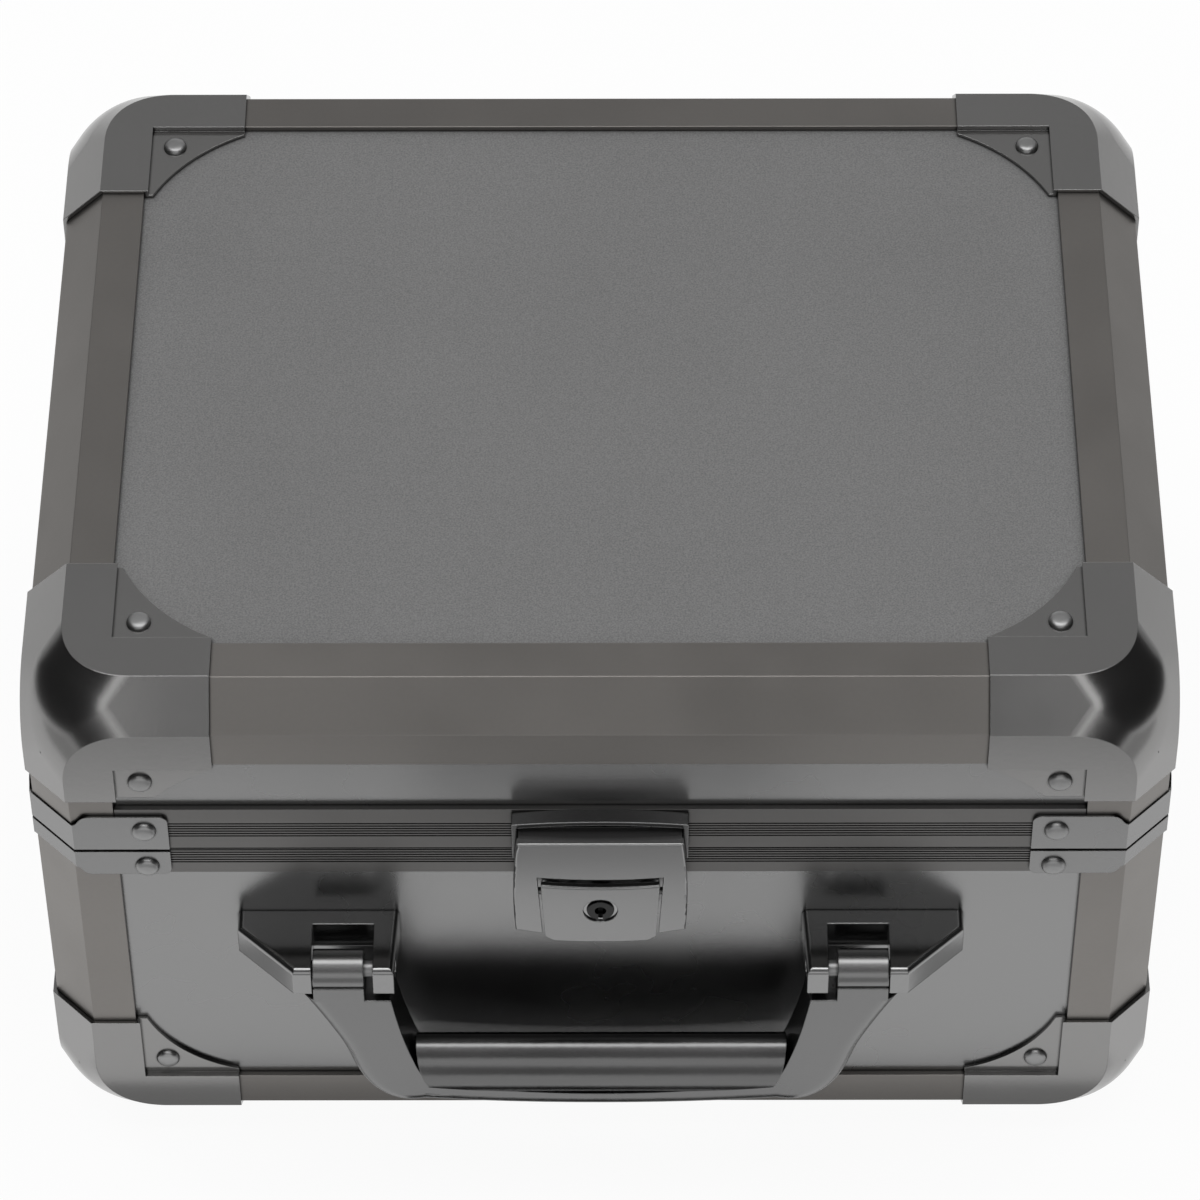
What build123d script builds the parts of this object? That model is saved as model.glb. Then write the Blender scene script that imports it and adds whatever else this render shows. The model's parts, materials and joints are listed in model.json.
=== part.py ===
from build123d import *
import os
from math import sqrt

os.makedirs("parts", exist_ok=True)

# Headphone travel case with aluminium edge rails, stamped corner caps, a folding
# handle and a key latch. Millimetres, X to the right, Y to the back, Z up. The floor
# that the case stands on is Z 0, and X 0 Y 0 is the middle of everything seen from above.

# Case size across the rails, without the corner caps
case_w = 270.0
case_d = 215.0
base_h = 110.0
lid_h = 51.0
seam_gap = 0.4

# Edge rail section and the wall panels that slide into it
rail_chamfer = 9.7
rail_flange = 10.4
rail_skin = 1.5
panel_t = 4.0
panel_tuck = 8.4
panel_nip = 3.0
rail_stop = 27.0
core_wall = 1.6

# Rim profiles on both sides of the seam
base_rim_h = 8.7
lid_rim_h = 14.1
rim_lip = 3.4
base_panel_drop = 4.0
lid_panel_rise = 9.5
lid_web = 3.5
tongue_h = 4.0
tongue_t = 2.0
tongue_gap = 1.1
rib_pitch = 0.9
rib_depth = 0.3
rib_width = 0.45
rib_count = 6
base_rib_low = 4.9
lid_rib_low = 4.4
rim_end_gap = 0.2

# Stamped corner caps
cap_t = 1.0
cap_leg = 44.4
cap_ball_r = 24.0
cap_web_start = 2.2
cap_web_sag = 2.7
cap_step_gap = 0.2
cap_step_t = 0.8
lid_cap_leg = 32.7
base_cap_leg = 42.8
base_web_sag = 3.9

# Braces that wrap the rim corners
brace_t = 0.8
brace_leg = 32.7
lid_brace_h = 11.8
base_brace_h = 8.2
brace_seam_gap = 0.5
brace_dip = 3.0
brace_dip_in = 6.9
brace_dip_out = 10.4
brace_corner_r = 2.0

# Rivets
rivet_inset = 27.0
rivet_head_r = 2.9
rivet_head_h = 1.4
rivet_r = 1.6
rivet_tail_r = 2.4
rivet_tail_h = 0.8
rivet_hole_gap = 0.1
flush_head_r = 2.6
flush_head_h = 0.8
base_rim_rivet = 5.6
lid_rim_rivet = 7.4

# Hinges on the back
hinge_w = 52.0
hinge_brace_gap = 4.3
hinge_leaf_t = 1.5
knuckle_r = 3.1
knuckle_gap = 0.3
lid_knuckle_w = 18.0
knuckle_side_gap = 0.3
base_leaf_h = 8.2
lid_leaf_h = 12.6
leaf_seam_gap = 0.6
hinge_pin_r = 1.5
hinge_pin_press = 0.03
hinge_pin_run = 0.06
hinge_rivet_x = 18.0

# Folding handle
bracket_wall = 87.5
bracket_inner = 48.6
bracket_side = 4.25
bracket_front = 73.7
bracket_front_inner = 49.6
bracket_reach = 17.4
bracket_top = 84.5
bracket_h = 8.5
bracket_edge_r = 1.4
window_out = 69.4
window_in = 54.6
window_back = 2.8
pivot_reach = 12.7
pivot_z = 79.8
knuckle_out = 69.1
knuckle_in = 56.9
handle_knuckle_r = 4.8
pivot_pin_r = 2.0
pivot_run = 0.06
pivot_press = 0.03
pivot_pin_out = 75.5
pivot_pin_in = 50.6
handle_reach = 17.6
handle_t = 11.6
shoulder_drop = 6.6
arm_out = 72.3
arm_in = 50.5
handle_round = 5.0
handle_back_round = 2.0
neck_drop = 2.0
grip_reach = 13.0
grip_z = 43.0
grip_half_t = 6.2
grip_half_h = 8.9
grip_seat = 0.1
screw_r = 2.0
screw_head_r = 3.6
screw_head_h = 2.4
screw_bite = 3.0
screw_out_x = 80.0
screw_in_x = 59.5

# Latch, measured outwards from the rim face and up from the floor of the rails
latch_reach = 8.0
hasp_top_w = 39.3
hasp_mid_w = 41.5
hasp_low_w = 40.7
hasp_top = 120.8
hasp_mid = 104.0
hasp_low = 88.6
hasp_slant = 1.5
hasp_t = 2.2
hasp_side_t = 1.6
hasp_side_in = 15.4
hasp_back = 1.8
hasp_edge_r = 0.6
window_half = 15.1
window_low_half = 13.9
window_top = 108.6
window_sag = 0.9
lever_half = 14.1
lever_low_half = 13.3
lever_top = 105.3
lever_low = 84.0
lever_cut = 2.0
lever_t = 1.5
lever_sink = 0.1
lever_round = 0.6
lug_x = 9.5
lug_w = 3.0
lug_r = 1.9
lug_h = 5.0
lever_pin_out = 3.6
lever_pin_z = 105.0
hasp_pin_out = 3.4
hasp_pin_z = 98.0
latch_pin_r = 0.9
latch_pin_run = 0.05
latch_pin_press = 0.03
latch_base_half = 14.0
latch_base_low = 88.0
latch_base_top = 109.2
latch_base_t = 1.2
ear_x = 5.6
ear_w = 2.4
ear_r = 1.7
latch_rivet_x = 11.2
latch_rivet_low = 91.5
latch_rivet_top = 104.6
lock_z = 95.8
lock_sleeve_r = 4.2
lock_plug_r = 3.2
lock_sink = 0.5
lock_boss_r = 5.4
lock_boss_t = 1.4
lock_run = 0.05
keyhole_r = 1.4
keyhole_w = 1.1
keyhole_deep = 2.2
cam_t = 1.0
cam_w = 3.4
cam_reach = 5.5
cam_back = 2.4
strike_gap = 0.3
strike_t = 1.7
strike_h = 4.0
strike_out = 3.4
hood_half = 20.9
hood_reach = 4.1
hood_t = 1.2
hood_top = 124.5
hood_arch = 1.1
hood_low = 111.0
catch_half = 17.0
catch_z = 113.4
catch_t = 1.8
catch_reach = 2.2
catch_gap = 0.3
keeper_rivet_x = 10.0

# Foam inside
foam_gap = 8.3
foam_drop = 14.0
recess_deep = 74.0
pocket_w = 46.0
pocket_deep = 56.0
foam_rib = 13.0
foam_end = 17.2
foam_glue = 0.2
lid_pad_t = 22.0
lid_pad_corner = 10.0
lid_pad_r = 6.0

# Places worked out from the sizes above
hinge_out = knuckle_r + knuckle_gap
hinge_x = case_w / 2 - brace_leg - hinge_brace_gap - hinge_w / 2
mid_y = (handle_reach - hinge_out - knuckle_r) / 2
left = -case_w / 2
right = case_w / 2
front = mid_y - case_d / 2
back = mid_y + case_d / 2
floor = cap_t
seam = floor + base_h
roof = seam + lid_h
base_edge = seam - seam_gap / 2
lid_edge = seam + seam_gap / 2
band = rail_chamfer + rail_flange
panel_edge = band - panel_tuck
rail_depth = 2 * rail_skin + panel_t
hole_r = rivet_r + rivet_hole_gap
pivot_y = front - pivot_reach
handle_front = front - handle_reach
far = 80.0

# The four upright sides, each a plane seen from outside with its Y axis upwards
walls = {
    "front": Plane(origin=(0, front, 0), x_dir=(1, 0, 0), z_dir=(0, -1, 0)),
    "back": Plane(origin=(0, back, 0), x_dir=(-1, 0, 0), z_dir=(0, 1, 0)),
    "left": Plane(origin=(left, mid_y, 0), x_dir=(0, -1, 0), z_dir=(-1, 0, 0)),
    "right": Plane(origin=(right, mid_y, 0), x_dir=(0, 1, 0), z_dir=(1, 0, 0)),
}
half_run = {"front": case_w / 2, "back": case_w / 2, "left": case_d / 2, "right": case_d / 2}


def save(piece, name):
    piece.part.label = name
    export_step(piece.part, "parts/" + name + ".step")


# Rivet places on each wall, as distance from the wall's middle and height
def pair(x, z):
    return [(-x, z), (x, z)]


base_cap_rivets = {w: pair(half_run[w] - rivet_inset, floor + rivet_inset) for w in walls}
lid_cap_rivets = {w: pair(half_run[w] - rivet_inset, roof - rivet_inset) for w in walls}
base_rim_rivets = {w: pair(half_run[w] - rivet_inset, seam - base_rim_rivet) for w in walls}
lid_rim_rivets = {w: pair(half_run[w] - rivet_inset, seam + lid_rim_rivet) for w in walls}
hinge_rivet_runs = [side * hinge_x + step for side in (-1, 1) for step in (-hinge_rivet_x, hinge_rivet_x)]
base_hinge_rivets = [(x, seam - base_rim_rivet) for x in hinge_rivet_runs]
lid_hinge_rivets = [(x, seam + lid_rim_rivet) for x in hinge_rivet_runs]
latch_low_rivets = pair(latch_rivet_x, floor + latch_rivet_low)
latch_top_rivets = [(0, floor + latch_rivet_top)]
keeper_rivets = pair(keeper_rivet_x, seam + lid_rim_rivet)
bracket_screws = pair(screw_out_x, floor + pivot_z) + pair(screw_in_x, floor + pivot_z)


# Edge rails: a chamfered corner profile with a slot for each of the two panels
rail_outline = [
    (0, rail_chamfer),
    (0, band),
    (rail_skin, band),
    (rail_skin, panel_edge),
    (rail_skin + panel_t, panel_edge),
    (rail_skin + panel_t, band),
    (rail_depth, band),
    (rail_depth, rail_depth),
    (band, rail_depth),
    (band, rail_skin + panel_t),
    (panel_edge, rail_skin + panel_t),
    (panel_edge, rail_skin),
    (band, rail_skin),
    (band, 0),
    (rail_chamfer, 0),
]
core_far = panel_edge - core_wall
core_near = rail_chamfer + core_wall * sqrt(2) - core_far
core_outline = [(core_wall, core_far), (core_far, core_wall)]
rail_runs = {
    "front": ((0, front, 0), (0, 1, 0), case_w),
    "back": ((0, back, 0), (0, -1, 0), case_w),
    "left": ((left, mid_y, 0), (1, 0, 0), case_d),
    "right": ((right, mid_y, 0), (-1, 0, 0), case_d),
}


def edge_rail(name, planes, length):
    with BuildPart() as rail:
        with BuildSketch(*planes):
            with BuildLine():
                Polyline(*rail_outline, close=True)
            make_face()
        extrude(amount=length / 2, both=True)
    save(rail, name)


def section_plane(origin, inward_a, inward_b):
    run = Vector(*inward_a).cross(Vector(*inward_b))
    return Plane(origin=origin, x_dir=inward_a, z_dir=run)


for wall, (spot, inward, run) in rail_runs.items():
    base_spot = (spot[0], spot[1], floor)
    lid_spot = (spot[0], spot[1], roof)
    rail_length = run - 2 * rail_stop
    edge_rail("base_" + wall + "_rail", [section_plane(base_spot, inward, (0, 0, 1))], rail_length)
    edge_rail("lid_" + wall + "_rail", [section_plane(lid_spot, inward, (0, 0, -1))], rail_length)

corner_spots = [(left, front, 1, 1), (right, front, -1, 1), (left, back, 1, -1), (right, back, -1, -1)]


def corner_posts(name, low, high):
    middle = (low + high) / 2
    planes = [section_plane((x, y, middle), (dx, 0, 0), (0, dy, 0)) for x, y, dx, dy in corner_spots]
    edge_rail(name, planes, high - low)


corner_posts("base_corner_posts", floor + rail_stop, base_edge)
corner_posts("lid_corner_posts", lid_edge, roof - rail_stop)

# Rims: the base rim carries a tongue that stands up inside the lid rim
tongue_in = rail_skin + tongue_gap
base_rim_outline = [
    (0, 0),
    (0, -base_rim_h),
    (rail_skin, -base_rim_h),
    (rail_skin, -base_panel_drop),
    (rail_skin + panel_t, -base_panel_drop),
    (rail_skin + panel_t, -base_rim_h - rim_lip),
    (rail_depth, -base_rim_h - rim_lip),
    (rail_depth, 0),
    (tongue_in + tongue_t, 0),
    (tongue_in + tongue_t, tongue_h),
    (tongue_in, tongue_h),
    (tongue_in, 0),
]
lid_web_low = lid_panel_rise - lid_web
lid_rim_outline = [
    (0, 0),
    (0, lid_rim_h),
    (rail_skin, lid_rim_h),
    (rail_skin, lid_panel_rise),
    (rail_skin + panel_t, lid_panel_rise),
    (rail_skin + panel_t, lid_rim_h + rim_lip),
    (rail_depth, lid_rim_h + rim_lip),
    (rail_depth, lid_web_low),
    (rail_skin, lid_web_low),
    (rail_skin, 0),
]


def rim(name, wall, edge, outline, rib_first, drilled):
    spot, inward, run = rail_runs[wall]
    with BuildPart() as profile:
        with BuildSketch(section_plane((spot[0], spot[1], edge), inward, (0, 0, 1))):
            with BuildLine():
                Polyline(*outline, close=True)
            make_face()
            for rib in range(rib_count):
                with Locations((0, rib_first + rib * rib_pitch)):
                    Rectangle(2 * rib_depth, rib_width, mode=Mode.SUBTRACT)
        extrude(amount=run / 2 - band - rim_end_gap, both=True)
        with BuildSketch(walls[wall]):
            with Locations(*drilled):
                Circle(hole_r)
        extrude(amount=-rail_depth, mode=Mode.SUBTRACT)
    save(profile, name)


for wall in walls:
    base_drilled = list(base_rim_rivets[wall])
    lid_drilled = list(lid_rim_rivets[wall])
    if wall == "front":
        base_drilled += latch_top_rivets
        lid_drilled += keeper_rivets
    if wall == "back":
        base_drilled += base_hinge_rivets
        lid_drilled += lid_hinge_rivets
    rim("base_" + wall + "_rim", wall, base_edge, base_rim_outline, -base_rib_low, base_drilled)
    rim("lid_" + wall + "_rim", wall, lid_edge, lid_rim_outline, lid_rib_low, lid_drilled)


# Wall panels
def wall_panel(name, wall, low, high, drilled):
    with BuildPart() as panel:
        with BuildSketch(walls[wall].offset(-rail_skin)):
            with Locations((0, (low + high) / 2)):
                Rectangle(2 * (half_run[wall] - panel_edge), high - low)
        extrude(amount=-panel_t)
        corners = panel.edges().filter_by(Axis((0, 0, 0), walls[wall].z_dir)).sort_by(Axis.Z)
        chamfer(corners[-2:] if low > base_edge else corners[:2], length=panel_nip)
        with BuildSketch(walls[wall]):
            with Locations(*drilled):
                Circle(hole_r)
        extrude(amount=-rail_depth, mode=Mode.SUBTRACT)
        if name == "base_front_panel":
            with BuildSketch(walls[wall]):
                with Locations(*bracket_screws):
                    Circle(screw_r + rivet_hole_gap)
            extrude(amount=-rail_depth, mode=Mode.SUBTRACT)
    save(panel, name)


for wall in walls:
    base_drilled = base_cap_rivets[wall] + base_rim_rivets[wall]
    lid_drilled = list(lid_cap_rivets[wall])
    if wall == "front":
        base_drilled = base_drilled + latch_low_rivets + latch_top_rivets
    if wall == "back":
        base_drilled = base_drilled + base_hinge_rivets
    wall_panel("base_" + wall + "_panel", wall, floor + panel_edge, base_edge - base_panel_drop, base_drilled)
    wall_panel("lid_" + wall + "_panel", wall, lid_edge + lid_panel_rise, roof - panel_edge, lid_drilled)

deck_rivets = [
    (x, mid_y + y)
    for x in (left + rivet_inset, right - rivet_inset)
    for y in (rivet_inset - case_d / 2, case_d / 2 - rivet_inset)
]


def deck_panel(name, low):
    with BuildPart() as panel:
        with BuildSketch(Plane.XY.offset(low)) as deck:
            with Locations((0, mid_y)):
                Rectangle(case_w - 2 * panel_edge, case_d - 2 * panel_edge)
            chamfer(deck.vertices(), length=panel_nip)
            with Locations(*deck_rivets):
                Circle(hole_r, mode=Mode.SUBTRACT)
        extrude(amount=panel_t)
    save(panel, name)


deck_panel("base_bottom_panel", floor + rail_skin)
deck_panel("lid_top_panel", roof - rail_skin - panel_t)


# Corner cap, built with the three rail faces as the planes through its own origin.
# A hull block grown by the sheet thickness, less the hull itself, leaves the sheet.
def hull_block(grow, reach, step):
    setback = rail_chamfer - grow * (sqrt(2) - 1) * sqrt(2) + grow
    corner = -grow
    span = reach + grow
    with BuildPart() as hull:
        with Locations((corner + span / 2, corner + span / 2, corner + span / 2)):
            Box(span, span, span)
        for normal in ((1, 1, 0), (0, 1, 1), (1, 0, 1)):
            chamfer_point = tuple(corner + setback * n / 2 for n in normal)
            split(bisect_by=Plane(origin=chamfer_point, z_dir=normal), keep=Keep.TOP)
        ball_edges = hull.edges().sort_by_distance((corner, corner, corner))[:3]
        fillet(ball_edges, radius=cap_ball_r - cap_t + grow)
        for face in (Plane.XY, Plane.YZ, Plane.ZX):
            with BuildSketch(face.offset(corner)):
                with Locations((step, step)):
                    Rectangle(reach, reach, align=(Align.MIN, Align.MIN))
            extrude(amount=rail_skin, mode=Mode.SUBTRACT)
    return hull.part


cap_outside = hull_block(cap_t, cap_leg, band + cap_step_gap + cap_step_t)
cap_inside = hull_block(0.0, cap_leg + cap_ball_r, band + cap_step_gap)
web_near = band + cap_web_start


def cap_sheet(upright_leg, web_sag):
    web_middle = (cap_leg + web_near) / 2 - web_sag / sqrt(2)
    with BuildPart() as cap:
        add(cap_outside)
        add(cap_inside, mode=Mode.SUBTRACT)
        for face in (Plane.XY, Plane.YZ, Plane.ZX):
            with BuildSketch(face.offset(-cap_t)):
                with BuildLine():
                    ThreePointArc((cap_leg, web_near), (web_middle, web_middle), (web_near, cap_leg))
                    Polyline((web_near, cap_leg), (web_near, far), (far, far), (far, web_near), (cap_leg, web_near))
                make_face()
                with Locations((rivet_inset, rivet_inset)):
                    Circle(hole_r)
            extrude(amount=2 * cap_t + rail_skin, mode=Mode.SUBTRACT)
        split(bisect_by=Plane.XY.offset(upright_leg), keep=Keep.BOTTOM)
    return cap.part


base_cap = cap_sheet(base_cap_leg, base_web_sag)
lid_cap = cap_sheet(lid_cap_leg, cap_web_sag)
for x, y, dx, dy in corner_spots:
    place = ("front" if dy > 0 else "back") + ("_left" if dx > 0 else "_right")
    for half, sheet, z, dz in (("base", base_cap, floor, 1), ("lid", lid_cap, roof, -1)):
        turned = sheet
        if dx < 0:
            turned = turned.mirror(Plane.YZ)
        if dy < 0:
            turned = turned.mirror(Plane.XZ)
        if dz < 0:
            turned = turned.mirror(Plane.XY)
        with BuildPart() as corner_cap:
            with Locations((x, y, z)):
                add(turned)
        save(corner_cap, half + "_cap_" + place)


# Braces: a strip bent round the chamfered corner, with its free edge dipping across the chamfer
def brace_strip(low, high, dip_top, rivet_z):
    bend = rail_chamfer + brace_t * (2 / sqrt(2) - 1)
    with BuildPart() as strip:
        with BuildSketch(Plane.XY.offset(low)):
            with BuildLine():
                Polyline(
                    (brace_leg, 0),
                    (rail_chamfer, 0),
                    (0, rail_chamfer),
                    (0, brace_leg),
                    (-brace_t, brace_leg),
                    (-brace_t, bend),
                    (bend, -brace_t),
                    (brace_leg, -brace_t),
                    close=True,
                )
            make_face()
        extrude(amount=high - low)
        free_z = high if dip_top else low
        away = 1 if dip_top else -1
        dip_plane = Plane(origin=(0, 0, free_z), x_dir=(1, -1, 0), z_dir=(-1, -1, 0))
        with BuildSketch(dip_plane):
            with BuildLine():
                rise = Spline(
                    (brace_dip_in, -away * brace_dip),
                    (brace_dip_out, 0),
                    tangents=[(1, 0), (1, 0)],
                )
                Polyline(rise @ 1, (brace_dip_out, away), (-brace_dip_out, away), (-brace_dip_out, 0))
                fall = Spline(
                    (-brace_dip_out, 0),
                    (-brace_dip_in, -away * brace_dip),
                    tangents=[(1, 0), (1, 0)],
                )
                Line(fall @ 1, rise @ 0)
            make_face()
        extrude(amount=brace_leg, both=True, mode=Mode.SUBTRACT)
        corners = strip.edges().filter_by(Axis.Y).group_by(Axis.X)[-1].group_by(Axis.Z)
        fillet(corners[-1 if dip_top else 0], radius=brace_corner_r)
        corners = strip.edges().filter_by(Axis.X).group_by(Axis.Y)[-1].group_by(Axis.Z)
        fillet(corners[-1 if dip_top else 0], radius=brace_corner_r)
        for face in (Plane.XZ, Plane.YZ):
            with BuildSketch(face):
                with Locations((rivet_inset, rivet_z)):
                    Circle(hole_r)
            extrude(amount=2 * brace_t, both=True, mode=Mode.SUBTRACT)
    return strip.part


base_brace_top = -brace_seam_gap
base_strip = brace_strip(base_brace_top - base_brace_h, base_brace_top, False, -base_rim_rivet)
lid_strip = brace_strip(brace_seam_gap, brace_seam_gap + lid_brace_h, True, lid_rim_rivet)
for half, strip_shape in (("base", base_strip), ("lid", lid_strip)):
    with BuildPart() as braces:
        for x, y, dx, dy in corner_spots:
            turned = strip_shape
            if dx < 0:
                turned = turned.mirror(Plane.YZ)
            if dy < 0:
                turned = turned.mirror(Plane.XZ)
            with Locations((x, y, seam)):
                add(turned)
    save(braces, half + "_rim_braces")


# Rivets: domed outside with a set tail inside, or flush where a moving piece passes over
def rivet(grip, flush):
    with BuildPart() as pin:
        with BuildSketch(Plane.XZ):
            with BuildLine():
                if flush:
                    Polyline((0, 0), (flush_head_r, 0), (flush_head_r, -flush_head_h), (rivet_r, -flush_head_h))
                    Line((rivet_r, -flush_head_h), (rivet_r, -grip))
                    start = (0, 0)
                else:
                    Spline((0, rivet_head_h), (rivet_head_r, 0), tangents=[(1, 0), (0, -1)])
                    Polyline((rivet_head_r, 0), (rivet_r, 0), (rivet_r, -grip))
                    start = (0, rivet_head_h)
                tail_end = -grip - rivet_tail_h
                Polyline((rivet_r, -grip), (rivet_tail_r, -grip), (rivet_tail_r, tail_end), (0, tail_end), start)
            make_face()
        revolve(axis=Axis.Z)
    return pin.part


def wall_sites(wall, points, out):
    plane = walls[wall].offset(out)
    return [plane.location * Pos(x, z, 0) for x, z in points]


def deck_sites(z, up):
    return [Plane(origin=(x, y, z), z_dir=(0, 0, up)).location for x, y in deck_rivets]


web_seat = cap_t - rail_skin
web_rivet = rivet(panel_t + cap_t, False)
brace_rivet = rivet(rail_depth + brace_t, False)
leaf_rivet = rivet(rail_depth + hinge_leaf_t, False)
rim_flush_rivet = rivet(rail_depth + latch_base_t, True)
panel_flush_rivet = rivet(rail_skin + panel_t + latch_base_t, True)

with BuildPart() as base_rivets:
    for wall in walls:
        with Locations(*wall_sites(wall, base_cap_rivets[wall], web_seat)):
            add(web_rivet)
        with Locations(*wall_sites(wall, base_rim_rivets[wall], brace_t)):
            add(brace_rivet)
    with Locations(*deck_sites(floor - web_seat, -1)):
        add(web_rivet)
    with Locations(*wall_sites("back", base_hinge_rivets, hinge_leaf_t)):
        add(leaf_rivet)
    with Locations(*wall_sites("front", latch_top_rivets, latch_base_t)):
        add(rim_flush_rivet)
    with Locations(*wall_sites("front", latch_low_rivets, latch_base_t)):
        add(panel_flush_rivet)
save(base_rivets, "base_rivets")

with BuildPart() as lid_rivets:
    for wall in walls:
        with Locations(*wall_sites(wall, lid_cap_rivets[wall], web_seat)):
            add(web_rivet)
        with Locations(*wall_sites(wall, lid_rim_rivets[wall], brace_t)):
            add(brace_rivet)
    with Locations(*deck_sites(roof + web_seat, 1)):
        add(web_rivet)
    with Locations(*wall_sites("back", lid_hinge_rivets, hinge_leaf_t)):
        add(leaf_rivet)
    with Locations(*wall_sites("front", keeper_rivets, latch_base_t)):
        add(rim_flush_rivet)
save(lid_rivets, "lid_rivets")

# Hinges: the base leaf has the two outer knuckles and the lid leaf the middle one
hinge_axis_y = back + hinge_out
base_knuckle_in = lid_knuckle_w / 2 + knuckle_side_gap
base_knuckle_w = hinge_w / 2 - base_knuckle_in
leaf_clear = knuckle_r + knuckle_gap

with BuildPart() as base_hinge_leaves:
    for side in (-1, 1):
        with BuildSketch(walls["back"]):
            with Locations((side * hinge_x, seam - leaf_seam_gap)):
                Rectangle(hinge_w, base_leaf_h, align=(Align.CENTER, Align.MAX))
                Rectangle(2 * base_knuckle_in, leaf_clear - leaf_seam_gap, align=(Align.CENTER, Align.MAX),
                          mode=Mode.SUBTRACT)
            with Locations(*base_hinge_rivets):
                Circle(hole_r, mode=Mode.SUBTRACT)
        extrude(amount=hinge_leaf_t)
    for side in (-1, 1):
        for end in (-1, 1):
            knuckle_x = side * hinge_x + end * (base_knuckle_in + base_knuckle_w / 2)
            with Locations(Plane(origin=(knuckle_x, hinge_axis_y, seam), z_dir=(1, 0, 0))):
                Cylinder(knuckle_r, base_knuckle_w)
    with Locations(Plane(origin=(0, hinge_axis_y, seam), z_dir=(1, 0, 0))):
        Cylinder(hinge_pin_r + hinge_pin_press, case_w, mode=Mode.SUBTRACT)
save(base_hinge_leaves, "base_hinge_leaves")

with BuildPart() as lid_hinge_leaves:
    for side in (-1, 1):
        with BuildSketch(walls["back"]):
            with Locations((side * hinge_x, seam + leaf_clear)):
                Rectangle(hinge_w, lid_leaf_h - leaf_clear, align=(Align.CENTER, Align.MIN))
            with Locations((side * hinge_x, seam + leaf_seam_gap)):
                Rectangle(lid_knuckle_w, lid_leaf_h / 2, align=(Align.CENTER, Align.MIN))
            with Locations(*lid_hinge_rivets):
                Circle(hole_r, mode=Mode.SUBTRACT)
        extrude(amount=hinge_leaf_t)
    for side in (-1, 1):
        with Locations(Plane(origin=(side * hinge_x, hinge_axis_y, seam), z_dir=(1, 0, 0))):
            Cylinder(knuckle_r, lid_knuckle_w)
    with Locations(Plane(origin=(0, hinge_axis_y, seam), z_dir=(1, 0, 0))):
        Cylinder(hinge_pin_r + hinge_pin_run, case_w, mode=Mode.SUBTRACT)
save(lid_hinge_leaves, "lid_hinge_leaves")

with BuildPart() as hinge_pins:
    for side in (-1, 1):
        with Locations(Plane(origin=(side * hinge_x, hinge_axis_y, seam), z_dir=(1, 0, 0))):
            Cylinder(hinge_pin_r, hinge_w)
save(hinge_pins, "hinge_pins")

# Handle brackets, made for the left and mirrored to the right
bracket_wall_y = front + rail_skin
bracket_front_y = front - bracket_reach
bracket_low = floor + bracket_top - bracket_h


def bracket(name, side):
    with BuildPart() as block:
        with BuildSketch(Plane.XY.offset(bracket_low)):
            with BuildLine():
                Polyline(
                    (side * bracket_wall, bracket_wall_y),
                    (side * bracket_wall, front - bracket_side),
                    (side * bracket_front, bracket_front_y),
                    (side * bracket_front_inner, bracket_front_y),
                    (side * bracket_inner, bracket_wall_y),
                    close=True,
                )
            make_face()
        extrude(amount=bracket_h)
        rim_edges = block.faces().sort_by(Axis.Z)[-1].edges().sort_by(Axis.Y)[:-1]
        fillet(rim_edges, radius=bracket_edge_r)
        with BuildSketch(Plane.XY.offset(bracket_low)):
            with Locations((side * (window_out + window_in) / 2, front - window_back)):
                Rectangle(window_out - window_in, far, align=(Align.CENTER, Align.MAX))
        extrude(amount=bracket_h, mode=Mode.SUBTRACT)
        with Locations(Plane(origin=(0, pivot_y, floor + pivot_z), z_dir=(side, 0, 0))):
            Cylinder(pivot_pin_r + pivot_press, pivot_pin_out,
                     align=(Align.CENTER, Align.CENTER, Align.MIN), mode=Mode.SUBTRACT)
        with BuildSketch(walls["front"].offset(-rail_skin)):
            with Locations((side * screw_out_x, floor + pivot_z), (side * screw_in_x, floor + pivot_z)):
                Circle(screw_r)
        extrude(amount=screw_bite, mode=Mode.SUBTRACT)
    save(block, name)


bracket("handle_bracket_left", -1)
bracket("handle_bracket_right", 1)

with BuildPart() as handle_pins:
    for side in (-1, 1):
        with Locations(Plane(origin=(side * pivot_pin_in, pivot_y, floor + pivot_z), z_dir=(side, 0, 0))):
            Cylinder(pivot_pin_r, pivot_pin_out - pivot_pin_in, align=(Align.CENTER, Align.CENTER, Align.MIN))
save(handle_pins, "handle_pins")

with BuildPart() as handle_screws:
    with BuildSketch(walls["front"].offset(-rail_skin - panel_t)):
        with Locations(*bracket_screws):
            Circle(screw_head_r)
    extrude(amount=-screw_head_h)
    with BuildSketch(walls["front"].offset(-rail_skin - panel_t)):
        with Locations(*bracket_screws):
            Circle(screw_r)
    extrude(amount=panel_t + screw_bite)
save(handle_screws, "handle_screws")

# Handle frame: one blank with its outer edges rounded, then opened for the grip and the hand
handle_plane = Plane(origin=(0, handle_front, floor), x_dir=(1, 0, 0), z_dir=(0, -1, 0))
shoulder_z = pivot_z - shoulder_drop
hand_low = 40.3
arm_curve = [(-arm_out, shoulder_z), (-65.9, 60.0), (-62.4, 51.2), (-58.8, 40.0), (-53.8, 33.4), (-43.0, 31.2)]
bar_low = 29.2
bar_quarter = (-22.0, 29.7)
inner_curve = [(-arm_in, shoulder_z), (-49.0, 63.4), (-46.8, 53.0), (-44.8, 46.2), (-42.3, hand_low)]
bar_top = 36.0
grip_end = [(-45.8, 56.0), (-45.4, 52.6), (-44.3, 46.8), (-42.2, hand_low + grip_seat)]


def mirrored(points):
    return [(-x, z) for x, z in reversed(points)]


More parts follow.
